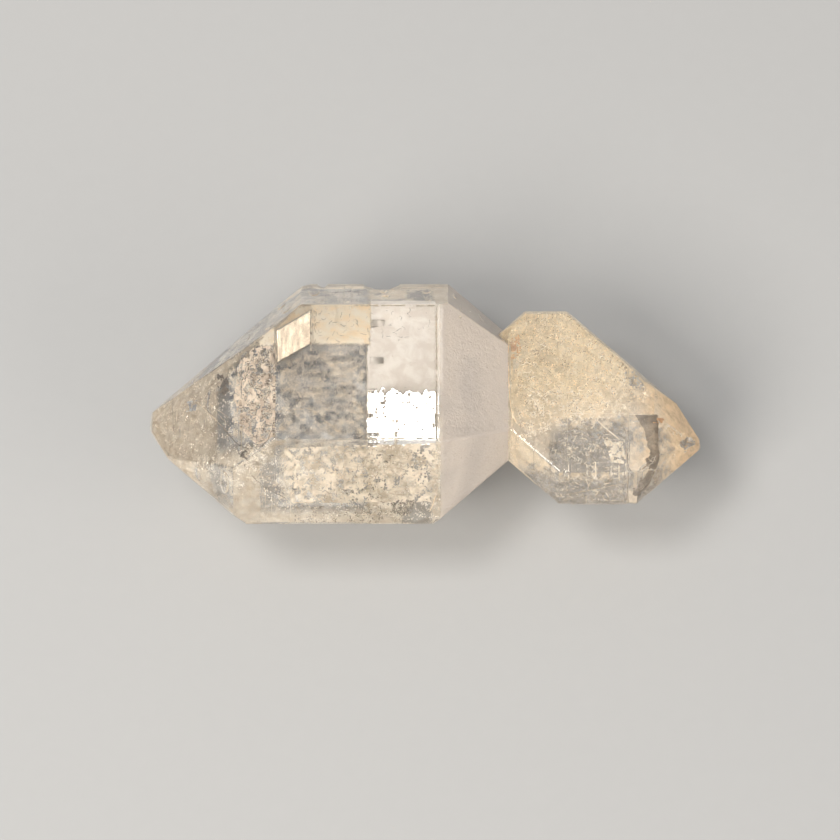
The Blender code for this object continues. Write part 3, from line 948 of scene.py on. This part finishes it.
# Cracks, growth seams and hairs: kind, picture points, depth in mm, radius in mm
strandLook = {
    "wobble": 0.05,  # mm
    "wobbleGrain": 0.13,  # per pixel
    "wobbleSeed": 5,
    "step": 2.5,  # pixels between points
    "clear": 2.0,  # radii that a strand keeps from the walls
    "lines": (
        ("dark", ((251, 475), (258, 481), (265, 488), (274, 492), (287, 499)), 0.5, 0.028),
        ("dark", ((221, 425), (228, 434), (235, 442), (242, 447), (250, 449)), 0.35, 0.030),
        ("dark", ((250, 449), (262, 446), (268, 440), (272, 430), (273, 418)), 0.35, 0.022),
        ("dark", ((173, 392), (172.5, 410), (173.5, 432)), 0.30, 0.012),
        ("dark", ((217, 386), (216.5, 402), (218, 424)), 0.30, 0.016),
        ("dark", ((242, 356), (241, 380), (242, 400)), 0.30, 0.014),
        ("dark", ((236, 366), (236.5, 376)), 0.30, 0.024),
        ("pale", ((177, 410), (176.5, 422)), 0.25, 0.030),
        ("pale", ((311, 312), (311, 352)), 3.0, 0.018),
        ("pale", ((371, 306), (371, 351)), 3.0, 0.020),
        ("pale", ((367, 351), (367, 439)), 3.0, 0.014),
        ("dark", ((305, 288), (340, 287.5), (380, 289), (437, 288)), 0.4, 0.022),
        ("dark", ((300, 293), (352, 292), (404, 294)), 0.4, 0.014),
        ("dark", ((312, 298), (362, 299), (430, 298)), 0.5, 0.010),
        ("dark", ((442, 480), (442, 490), (441.5, 500)), 0.3, 0.030),
        ("golden", ((436, 495), (433, 504), (430, 512)), 0.5, 0.030),
        ("golden", ((343, 470), (350, 474), (357, 473), (365, 478)), 1.2, 0.012),
        ("golden", ((346, 478), (353, 470), (361, 468)), 1.4, 0.010),
        ("golden", ((350, 480), (354, 474), (362, 482)), 1.0, 0.010),
        ("pale", ((438, 441), (465, 433), (490, 430), (512, 427)), 0.3, 0.018),
        ("pale", ((290, 500), (290, 523)), 0.6, 0.014),
        ("pale", ((272, 495), (272, 511)), 0.6, 0.014),
        ("dark", ((534, 436), (534, 470)), 0.4, 0.012),
        ("dark", ((550, 440), (550.5, 486)), 0.4, 0.012),
        ("dark", ((563, 436), (563, 470)), 0.5, 0.010),
        ("pale", ((597, 420), (608, 430), (620, 440)), 0.8, 0.040),
        ("dark", ((628, 447), (628, 503)), 1.2, 0.020),
        ("pale", ((560, 414), (600, 413), (654, 415)), 0.25, 0.014),
        ("pale", ((668, 425), (676, 431), (684, 436)), 0.4, 0.022),
        ("golden", ((509, 338), (508, 360), (509, 390), (511, 410), (517, 424)), 0.2, 0.045),
    ),
}

# Short winding strands: kind, count, length in steps, radius in mm, place and outline as above
squiggleLook = {
    "seed": 4,
    "step": 1.5,  # pixels
    "bend": 0.6,  # radians at a step
    "wallInset": (0.50, 0.65),  # mm
    "triesEach": 20,
    "zones": {
        "crumpledPale": {
            "kind": "pale", "count": 420, "steps": (3, 11), "radius": (0.020, 0.045),
            "place": "wall",
            "outline": crumpledArea,
        },
        "crumpledDark": {
            "kind": "dark", "count": 160, "steps": (3, 9), "radius": (0.016, 0.034),
            "place": "wall",
            "outline": crumpledArea,
        },
        "smallDark": {
            "kind": "dark", "count": 130, "steps": (2, 7), "radius": (0.008, 0.018),
            "place": (0.2, 0.9),
            "outline": smallUpperArea,
        },
        "smallPale": {
            "kind": "pale", "count": 200, "steps": (2, 8), "radius": (0.010, 0.024),
            "place": (0.2, 0.9),
            "outline": ((512, 330), (530, 310), (570, 310), (654, 396), (600, 420), (520, 440)),
        },
        "greyPatch": {
            "kind": "pale", "count": 150, "steps": (2, 7), "radius": (0.012, 0.028),
            "place": (0.8, 2.0),
            "outline": ((550, 446), (566, 430), (596, 424), (627, 440), (627, 502), (560, 502)),
        },
        "etched": {
            "kind": "dark", "count": 90, "steps": (3, 9), "radius": (0.008, 0.018),
            "place": (0.12, 0.25),
            "outline": ((238, 350), (275, 347), (274, 436), (256, 444), (238, 425)),
        },
        "creamBand": {
            "kind": "dark", "count": 70, "steps": (2, 6), "radius": (0.006, 0.013),
            "place": (0.15, 0.4),
            "outline": ((300, 310), (432, 308), (432, 342), (312, 342)),
        },
        "rightEnd": {
            "kind": "dark", "count": 60, "steps": (2, 6), "radius": (0.006, 0.012),
            "place": (0.10, 0.2),
            "outline": ((442, 330), (504, 362), (504, 436), (442, 496)),
        },
        "front": {
            "kind": "dark", "count": 110, "steps": (2, 7), "radius": (0.007, 0.016),
            "place": (0.12, 0.4),
            "outline": ((292, 452), (436, 448), (436, 506), (292, 506)),
        },
    },
}

# Rutile needles, which follow three directions of the crystal
needleLook = {
    "seed": 3,
    "count": 34,
    "length": (1.6, 5.0),  # mm
    "radius": (0.008, 0.016),  # mm
    "between": 60.0,  # degrees
    "turn": (12.0, 5.0),  # degrees, mean and spread
    "flatten": 0.8,
    "rise": 0.35,
    "margin": 0.2,  # mm below the surface
    "bow": 0.03,  # mm
}


def alongLine(points, step):
    # evenly spaced picture points on a line through the given ones
    for (x0, y0), (x1, y1) in zip(points, points[1:]):
        count = max(1, round(math.hypot(x1 - x0, y1 - y0) / step))
        for part in range(count):
            yield x0 + (x1 - x0) * part / count, y0 + (y1 - y0) * part / count
    yield points[-1]


def addStrands():
    look = strandLook
    grain = look["wobbleGrain"]
    noise.seed_set(look["wobbleSeed"])  # without it noise_vector differs from run to run
    for number, (kind, points, depth, radius) in enumerate(look["lines"]):
        route = []
        for px, py in alongLine(points, look["step"]):
            place, _ = seenAt(px, py, depth)
            if place is None:
                continue
            shake = noise.noise_vector(Vector((px * grain, py * grain, number * 5.0)))
            place = place + shake * look["wobble"]
            if depthInside(place) > radius * look["clear"]:
                route.append(place)
        if len(route) > 1:
            flakes[kind].tube(route, radius)


def winding(zone, px, py, chance):
    # the points of one winding strand from a pixel on, until it leaves its outline
    look = squiggleLook
    turn = chance.uniform(0.0, math.tau)
    radius = chance.uniform(*zone["radius"])
    onWall = zone["place"] == "wall"
    depth = chance.uniform(*(look["wallInset"] if onWall else zone["place"]))
    route = []
    for _ in range(chance.randint(*zone["steps"])):
        place, _ = seenOnWall(px, py, depth) if onWall else seenAt(px, py, depth)
        if place is None or not insideOutline(zone["outline"], px, py):
            break
        if depthInside(place) < radius * strandLook["clear"]:
            break
        route.append(place)
        turn += chance.gauss(0.0, look["bend"])
        px += look["step"] * math.cos(turn)
        py += look["step"] * math.sin(turn)
    return route, radius


def addSquiggles():
    look = squiggleLook
    chance = random.Random(look["seed"])
    for zone in look["zones"].values():
        xs, ys = [x for x, _ in zone["outline"]], [y for _, y in zone["outline"]]
        made = 0
        for _ in range(zone["count"] * look["triesEach"]):
            if made == zone["count"]:
                break
            px, py = chance.uniform(min(xs), max(xs)), chance.uniform(min(ys), max(ys))
            route, radius = winding(zone, px, py, chance)
            if len(route) > 1:
                flakes[zone["kind"]].tube(route, radius)
                made += 1


def addNeedles():
    look = needleLook
    chance = random.Random(look["seed"])
    low, high = (corner / mm for corner in cadBox)
    made = 0
    while made < look["count"]:
        start = Vector([chance.uniform(low[axis], high[axis]) for axis in range(3)])
        turn = math.radians(look["between"] * chance.randrange(3) + chance.gauss(*look["turn"]))
        across, rise = math.sin(turn) * look["flatten"], chance.gauss(0.0, look["rise"])
        way = Vector((math.cos(turn), across, rise)).normalized()
        end = start + way * chance.uniform(*look["length"])
        middle = (start + end) / 2
        if min(depthInside(place) for place in (start, middle, end)) < look["margin"]:
            continue
        middle += leaning(Vector((0.0, 0.0, 0.0)), 1.0, chance) * look["bow"]
        flakes["golden"].tube([start, middle, end], chance.uniform(*look["radius"]))
        made += 1


print("strands")
addStrands()
addSquiggles()
addNeedles()
for group in flakes.values():
    group.finish()

# Thin sheets behind part of the picture. One with an inset lies that far (mm) inside the far
# wall, and one with below that far behind the near face. The rest is as in plainSheet.
plainSheet = {
    "relief": 0.02,  # mm
    "grain": 1.0,
    "light": None,  # the light that it mirrors
    "ragged": 0.0,  # pixels that its upper edge is worn off
    "holes": 9.0,  # the noise above which it has holes
}
sheetLook = {
    # the etched bottom face of the larger crystal: wrinkles from the etching, its dark bluish grey
    # a painted reflection of a dark ground
    "crumpled_painted_reflection": {
        "outline": ((276, 364), (311, 345), (366.5, 345), (366.5, 439), (276, 439)),
        "inset": 0.25,
        "step": 1.1,  # pixels between points
        "relief": 0.10,
        "grain": 1.5,
    },
    "bright_veil": {
        "outline": ((367.5, 384), (436, 384), (436, 438), (367.5, 438)),
        "below": 1.25,
        "step": 0.7,
        "relief": 0.002,
        "grain": 0.8,
        "light": "window",
        "ragged": 8.0,
        "holes": 0.52,
    },
    "white_veil": {
        "outline": ((277, 330), (311, 310), (311, 344), (277, 363)),
        "below": 1.1,
        "step": 1.0,
        "relief": 0.004,
        "grain": 1.2,
        "light": "fill",
    },
    "cream_veil": {
        "outline": (
            (300, 306), (371, 306), (371, 344), (312, 344), (312, 309), (277, 329), (277, 326),
        ),
        "inset": 0.25,
        "step": 1.4,
    },
    "pale_veil": {
        "outline": ((371, 306), (436, 306), (436, 414), (367.5, 414), (367.5, 345), (371, 345)),
        "below": 2.3,
        "step": 1.2,
    },
    "left_veil": {
        "outline": (
            (240, 362), (254, 347), (275, 345), (274, 436), (258, 446), (240, 428), (234, 396),
        ),
        "below": 0.35,
        "step": 0.6,
        "holes": 0.12,
    },
    "front_veil": {
        "outline": ((284, 448), (438, 443), (438, 502), (292, 503), (284, 480)),
        "below": 0.5,
        "step": 0.8,
        "holes": 0.14,
    },
}
wearLook = {
    "raggedGrain": (0.25, 0.03),  # per pixel across and down
    "coarse": 0.16,
    "fine": 0.5,
    "fineShare": 0.7,
    "thickness": 0.02,  # mm
}


def onSheet(look, px, py):
    if "inset" in look:
        return seenOnWall(px, py, look["inset"])
    place, _ = seenAt(px, py, look["below"])
    return (place, sight(px, py)[2]) if place else (None, None)


def isWorn(look, outline, top, px, py):
    # whether this place of a sheet is cut off, worn off or a hole
    across, down = wearLook["raggedGrain"]
    rag = look["ragged"] * (1.0 + noise.noise(Vector((px * across, py * down, 0.0))))
    coarse, fine = wearLook["coarse"], wearLook["fine"]
    wear = noise.noise(Vector((px * coarse, py * coarse, 3.0)))
    wear += wearLook["fineShare"] * noise.noise(Vector((px * fine, py * fine, 5.0)))
    gone = py < top + rag or not insideOutline(outline, px, py)
    return gone or wear > look["holes"]


def makeSheet(name, material):
    look = {**plainSheet, **sheetLook[name]}
    outline = look["outline"]
    left, right = min(x for x, _ in outline), max(x for x, _ in outline)
    top, bottom = min(y for _, y in outline), max(y for _, y in outline)
    columns = int((right - left) / look["step"])
    rows = int((bottom - top) / look["step"])
    bpy.ops.object.select_all(action="DESELECT")
    bpy.ops.mesh.primitive_grid_add(x_subdivisions=columns, y_subdivisions=rows, size=1.0)
    sheet = bpy.context.object
    sheet.name = name
    sheet.data.name = name
    bpy.context.tool_settings.mesh_select_mode = (False, False, True)
    bpy.ops.object.mode_set(mode="EDIT")
    bpy.ops.mesh.select_all(action="DESELECT")
    bpy.ops.object.mode_set(mode="OBJECT")
    centreX, centreY = (left + right) / 2, (top + bottom) / 2
    centre, centreNormal = onSheet(look, centreX, centreY)
    lean = glintNormal(centreX, centreY, look["light"]) if look["light"] else None
    picture = {}
    for vertex in sheet.data.vertices:
        px = left + (vertex.co.x + 0.5) * (right - left)
        py = bottom - (vertex.co.y + 0.5) * (bottom - top)
        place, normal = onSheet(look, px, py)
        picture[vertex.index] = (px, py) if place else (left, top - 1.0)
        if place is None:
            place, normal = centre, centreNormal
        if lean:  # flat, through the middle, at the lean that mirrors the light
            way = sight(px, py)[1]
            place = place + way * ((centre - place).dot(lean) / way.dot(lean))
            normal = lean
        lift = look["relief"] * (noise.turbulence(place * look["grain"], 3, False) - 0.4)
        vertex.co = (place + normal * lift) * mm
    for polygon in sheet.data.polygons:
        corners = [picture[index] for index in polygon.vertices]
        px = sum(x for x, _ in corners) / len(corners)
        py = sum(y for _, y in corners) / len(corners)
        polygon.select = isWorn(look, outline, top, px, py)
    bpy.ops.object.mode_set(mode="EDIT")
    bpy.ops.mesh.delete(type="FACE")
    bpy.ops.object.mode_set(mode="OBJECT")
    bpy.ops.object.shade_smooth()
    solid = sheet.modifiers.new("thickness", "SOLIDIFY")
    solid.thickness = wearLook["thickness"] * mm
    bpy.ops.object.modifier_apply(modifier=solid.name)
    low = min(depthInside(vertex.co / mm) for vertex in sheet.data.vertices)
    print(name, len(sheet.data.polygons), "faces, at least", round(low, 2), "mm inside")
    sheet.data.materials.append(material)
    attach(sheet, "root")


# The films that cover the sheets; the crumpled one carries painted reflection of a dark ground
foilLook = {
    # deep and silver are painted reflection of a dark ground in the bottom face; crease is the
    # pale colour on its wrinkle lines
    "deep": colour(0.13, 0.15, 0.19),
    "silver": colour(0.38, 0.41, 0.46),
    "crease": colour(0.98, 0.93, 0.85),
    "metallic": 0.25,
    "roughness": 0.28,
}
mirrorLook = {
    # sheet: material, light tint, dark tint
    "bright_veil": ("brightFilm", colour(0.98, 0.97, 0.95), colour(0.90, 0.88, 0.85)),
    "white_veil": ("whiteFilm", colour(0.54, 0.48, 0.40), colour(0.42, 0.36, 0.29)),
}
creamLook = {
    # sheet: material, light tint, dark tint, strength of the brown marks
    "cream_veil": ("creamFilm", colour(1.0, 0.95, 0.84), colour(1.0, 0.84, 0.62), 0.8),
    "pale_veil": ("paleFilm", colour(0.88, 0.83, 0.77), colour(0.76, 0.69, 0.62), 0.15),
    "left_veil": ("leftFilm", colour(0.92, 0.80, 0.66), colour(0.62, 0.50, 0.39), 0.7),
    "front_veil": ("frontFilm", colour(0.88, 0.78, 0.64), colour(0.48, 0.40, 0.30), 0.7),
}
brownMark = colour(0.50, 0.30, 0.18)


def foilMaterial():
    look = foilLook
    material, shader, at = newMaterial("crumpledPaintedReflection")
    at = at.inMm()
    patches = at.noise(0.8, 3.0, 0.6, 0.8)
    wrinkles = 1.0 - at.noise(1.6, 2.0, 0.6, 1.6).away(0.5).ramp(0.0, 0.035)
    creases = 1.0 - at.noise(3.6, 2.0, 0.6, 1.2).away(0.5).ramp(0.0, 0.030)
    tint = patches.ramp(0.40, 0.62).mix(look["deep"], look["silver"])
    lines = (wrinkles + creases * 0.7) * patches.ramp(0.34, 0.54)
    tint = lines.ramp(0.0, 1.0).mix(tint, look["crease"])
    plug(tint, shader, "Base Color")
    shader.inputs["Metallic"].default_value = look["metallic"]
    shader.inputs["Roughness"].default_value = look["roughness"]
    plug(at.noise(1.6, 4.0, 0.6, 1.6).bump(1.0, 0.00015), shader, "Normal")
    return material


def creamMaterial(name, pale, deep, amount):
    material, shader, at = newMaterial(name)
    at = at.inMm()
    patches = at.noise(0.9, 4.0, 0.6, 0.5)
    marks = at.noise(3.0, 4.0, 0.7, 1.0).ramp(0.60, 0.70) * patches.ramp(0.45, 0.60)
    tint = patches.ramp(0.38, 0.62).mix(deep, pale)
    plug((marks * amount).mix(tint, brownMark), shader, "Base Color")
    plug(0.40 + patches * 0.25, shader, "Roughness")
    return material


def mirrorMaterial(name, pale, deep):
    material, shader, at = newMaterial(name)
    at = at.stretch(1000.0, 160.0, 160.0)  # drawn out across the length
    streaks = at.noise(4.0, 3.0)
    plug(streaks.ramp(0.3, 0.7).mix(pale, deep), shader, "Base Color")
    shader.inputs["Metallic"].default_value = 1.0
    plug(0.18 + streaks * 0.12, shader, "Roughness")
    return material


print("sheets")
# the crumpled sheet, with painted reflection of a dark ground
makeSheet("crumpled_painted_reflection", foilMaterial())
for name, look in mirrorLook.items():
    makeSheet(name, mirrorMaterial(*look))
for name, look in creamLook.items():
    makeSheet(name, creamMaterial(*look))

print("done")
